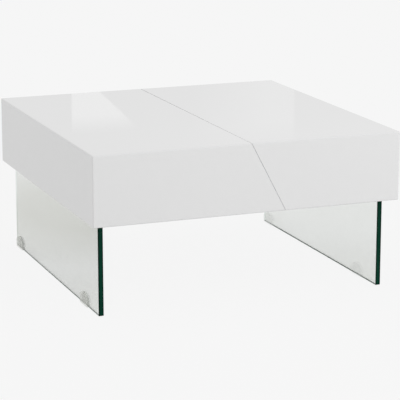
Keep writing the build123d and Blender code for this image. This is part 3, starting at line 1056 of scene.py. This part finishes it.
joint_at = {joint["name"]: Vector(joint["pos_m"]) for joint in frame["joints"]}
pivot = joint_at["arm_swing"]
arm_line = joint_at["lid_level"] - pivot
arm_angle = math.atan2(arm_line.z, arm_line.x)
hook_reach, hook_drop = 0.045, 0.004
hook_distance = math.hypot(hook_reach, hook_drop)
last_angle = (
    arm_angle - math.atan2(hook_drop, hook_reach) - math.acos(coil_radius / hook_distance)
)
wound = 2 * math.pi * coil_turns + last_angle
foot_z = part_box("bottom_board")[1].z + wire_radius
for side, face in (("front", -1), ("back", 1)):
    arm_low, arm_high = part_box(f"lead_arm_{side}")
    arm_inner = min(abs(arm_low.y), abs(arm_high.y))
    spring_low, spring_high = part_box(f"torsion_spring_{side}")
    coil_end = arm_inner - coil_to_arm
    coil_start = coil_end - coil_pitch * wound / (2 * math.pi)

    def on_coil(turned):
        reach = coil_start + (coil_end - coil_start) * turned / wound
        return Vector(
            (
                pivot.x + coil_radius * math.cos(turned),
                face * reach,
                pivot.z + coil_radius * math.sin(turned),
            )
        )

    first, last = on_coil(0), on_coil(wound)
    drift_y = face * coil_pitch / (2 * math.pi * coil_radius)
    leaving = Vector((-math.sin(last_angle), drift_y, math.cos(last_angle))).normalized()
    corner = last + leaving * math.sqrt(hook_distance**2 - coil_radius**2)
    tip = Vector((corner.x, face * max(abs(spring_low.y), abs(spring_high.y)), corner.z))
    bend_in = corner - leaving * hook_bend
    bend_out = corner + (tip - corner).normalized() * hook_bend
    steps = round(coil_steps * wound / (2 * math.pi))
    path = [Vector((first.x, first.y - drift_y * (first.z - foot_z), foot_z))]
    path += [on_coil(wound * step / steps) for step in range(steps + 1)]
    path += [
        bend_in.lerp(corner, step / hook_steps).lerp(
            corner.lerp(bend_out, step / hook_steps), step / hook_steps
        )
        for step in range(hook_steps + 1)
    ]
    path.append(tip)
    mesh = bpy.data.meshes.new("spring_path")
    mesh.from_pydata(path, [(k, k + 1) for k in range(len(path) - 1)], [])
    rough = bpy.data.objects.new("spring_path", mesh)
    bpy.context.scene.collection.objects.link(rough)
    winder = rough.modifiers.new("drawn wire", "NODES")
    winder.node_group = drawn_wire
    sockets = {item.name: item.identifier for item in drawn_wire.interface.items_tree}
    winder[sockets["Radius"]] = wire_radius
    winder[sockets["Finish"]] = spring_wire_finish
    spring = bpy.data.objects.new(f"wound_spring_{side}", applied(rough))
    bpy.context.scene.collection.objects.link(spring)
    for polygon in spring.data.polygons:
        polygon.use_smooth = len(polygon.vertices) == 4     # the cut ends stay flat
    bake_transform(spring)
    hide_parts(f"torsion_spring_{side}")

# ---------------------------------------------------------------- lid
# The lifting half is the same sprayed shell in thinner board, so that it clears the tray below. It
# rests on rubber bumpers, a hair off the rails, and the gap at the seam opens a little to the back.
lid_board = 0.016
lid_taper = 0.0003 / case_high.y     # 0.3 mm tighter at the front, 0.3 mm wider at the back
lid_low, lid_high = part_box("lid_front_fascia")
lid_shell = add_piece(
    "lid_shell",
    case_shell(case_low, case_high, lid_board, (lid_low.x, lid_high.z), 1, lid_taper),
    "lid",
    gloss_lacquer,
)
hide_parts("lid_top_board", "lid_front_fascia", "lid_back_fascia", "lid_end_board")
dress(rubber, "lid_bumpers")

# ---------------------------------------------------------------- studio
# A pale paper floor under an even sky, one soft lamp from the front right, and two light panels
# behind the table that show only as reflections in gloss.
paper_white = 0.925
sky_light = 0.76

world = bpy.data.worlds.new("studio")
bpy.context.scene.world = world
world.use_nodes = True
tree = world.node_tree
tree.nodes.clear()
path = add_node(tree, "ShaderNodeLightPath")
seen = maths(tree, "MAXIMUM", path.outputs["Is Camera Ray"], path.outputs["Is Glossy Ray"])
seen = maths(tree, "MAXIMUM", seen, path.outputs["Is Transmission Ray"])
dim = add_node(tree, "ShaderNodeBackground", {"Color": (1, 1, 1, 1), "Strength": sky_light})
white = add_node(
    tree, "ShaderNodeBackground", {"Color": (paper_white,) * 3 + (1,), "Strength": 1.0}
)
sky = mix_shaders(tree, seen, dim.outputs[0], white.outputs[0])
add_node(tree, "ShaderNodeOutputWorld", {"Surface": sky})

floor_mesh = bpy.data.meshes.new("floor")
sweep = bmesh.new()
bmesh.ops.create_circle(sweep, cap_ends=True, segments=96, radius=14)
sweep.to_mesh(floor_mesh)
sweep.free()
floor = bpy.data.objects.new("floor", floor_mesh)
bpy.context.scene.collection.objects.link(floor)
paper = bpy.data.materials.new("floor_paper")
paper.use_nodes = True
tree = paper.node_tree
tree.nodes.clear()
path = add_node(tree, "ShaderNodeLightPath")
indirect = maths(
    tree, "MAXIMUM", path.outputs["Is Glossy Ray"], path.outputs["Is Transmission Ray"]
)
paper_colour = 0.85
lit_paper = 0.765           # what the bare paper gives in the open
# The share of the paper's light that takes shadow, seen in the open and in gloss or glass.
shadow_seen, shadow_in_glass = 0.04, 0.4


def glow(share):
    """The emission that brings the paper to white where this share of it still takes shadow."""
    return (paper_white - share * lit_paper) / (1 - share)


# Painted shadow of the table on the floor, which only rays through the glass see: the paper's glow
# is greyer and warmer in a patch behind the table and again in front, so to the glass the floor
# isn't plain. In the open it stays even.
shade_middle = (-0.03, 0.65, 0)
shade_squeeze = (1.4, 1, 1)
shade_full, shade_out = 0.28, 0.7       # distances from the middle of the patch
front_full, front_out = -0.25, 0.18     # along Y
front_strength = 0.29
painted_shadow_colour = (0.60, 0.60, 0.54, 1)
on_paper = object_place(tree)
squeezed = add_node(
    tree, "ShaderNodeVectorMath", {0: on_paper, 1: shade_squeeze}, operation="MULTIPLY"
)
off_middle = add_node(
    tree, "ShaderNodeVectorMath", {0: squeezed.outputs[0], 1: shade_middle}, operation="DISTANCE"
)
behind_share = ramp(tree, off_middle.outputs["Value"], shade_full, shade_out, 1, 0)
to_the_back = add_node(tree, "ShaderNodeSeparateXYZ", {0: on_paper}).outputs["Y"]
front_share = ramp(tree, to_the_back, front_full, front_out, front_strength, 0)
painted_shadow_share = maths(tree, "MAXIMUM", behind_share, front_share)
painted_shadow_seen = maths(tree, "MULTIPLY", painted_shadow_share, path.outputs["Is Transmission Ray"])
# The floor's glow takes the painted shadow's grey where rays through the glass meet it.
glow_with_painted_shadow = blend_colours(tree, painted_shadow_seen, (1, 1, 1, 1), painted_shadow_colour)
bare = add_node(tree, "ShaderNodeBsdfDiffuse", {"Color": (paper_colour,) * 3 + (1,)})
layers = []
for share in (shadow_seen, shadow_in_glass):
    lit = add_node(tree, "ShaderNodeEmission", {"Color": glow_with_painted_shadow, "Strength": glow(share)})
    layers.append(mix_shaders(tree, 1 - share, bare.outputs[0], lit.outputs[0]))
to_camera = mix_shaders(tree, path.outputs["Is Camera Ray"], bare.outputs[0], layers[0])
to_glass = mix_shaders(tree, indirect, to_camera, layers[1])
under = add_node(tree, "ShaderNodeNewGeometry").outputs["Backfacing"]
open_below = add_node(tree, "ShaderNodeBsdfTransparent")
paper_face = mix_shaders(tree, under, to_glass, open_below.outputs[0])
add_node(tree, "ShaderNodeOutputMaterial", {"Surface": paper_face})
floor_mesh.materials.append(paper)

lamp_data = bpy.data.lights.new("front_lamp", "AREA")
lamp_data.shape = "SQUARE"
lamp_data.size = 2.2
lamp_data.energy = 29
lamp = bpy.data.objects.new("front_lamp", lamp_data)
lamp.location = (1.5, -2.6, 2.2)
lamp_aim = Vector((0, 0, 0.3))
lamp.rotation_euler = (lamp_aim - lamp.location).to_track_quat("-Z", "Y").to_euler()
lamp.visible_camera = False
lamp.visible_glossy = False
bpy.context.scene.collection.objects.link(lamp)


def light_panel(name, corners, strength, *fades):
    """A glowing panel that only gloss shows. A fade is an axis, where it is out and where full."""
    mesh = bpy.data.meshes.new(name)
    mesh.from_pydata(corners, [], [tuple(range(len(corners)))])
    made = bpy.data.objects.new(name, mesh)
    bpy.context.scene.collection.objects.link(made)
    for ray in ("camera", "diffuse", "transmission", "volume_scatter", "shadow"):
        setattr(made, f"visible_{ray}", False)
    finish = bpy.data.materials.new(name)
    finish.use_nodes = True
    tree = finish.node_tree
    tree.nodes.clear()
    on_panel = add_node(tree, "ShaderNodeSeparateXYZ", {0: object_place(tree)})
    share = 1.0
    for axis, out, full in fades:
        share = maths(tree, "MULTIPLY", ramp(tree, on_panel.outputs[axis], out, full), share)
    clear = add_node(tree, "ShaderNodeBsdfTransparent")
    lit = add_node(tree, "ShaderNodeEmission", {"Strength": strength})
    both = mix_shaders(tree, share, clear.outputs[0], lit.outputs[0])
    add_node(tree, "ShaderNodeOutputMaterial", {"Surface": both})
    mesh.materials.append(finish)


panel_y = 2.5
light_panel(
    "narrow_panel",
    [(0.473, panel_y, 0.67), (0.473, panel_y, 0.96), (0.766, panel_y, 0.96)],
    1.11,
    ("Z", 0.94, 0.875),
)
light_panel(
    "wide_panel",
    [(0.96, panel_y, 0.6), (1.403, panel_y, 0.6), (1.403, panel_y, 1.1), (0.96, panel_y, 1.1)],
    1.01,
    ("Z", 1.08, 0.95),
    ("X", 0.96, 1.28),
)
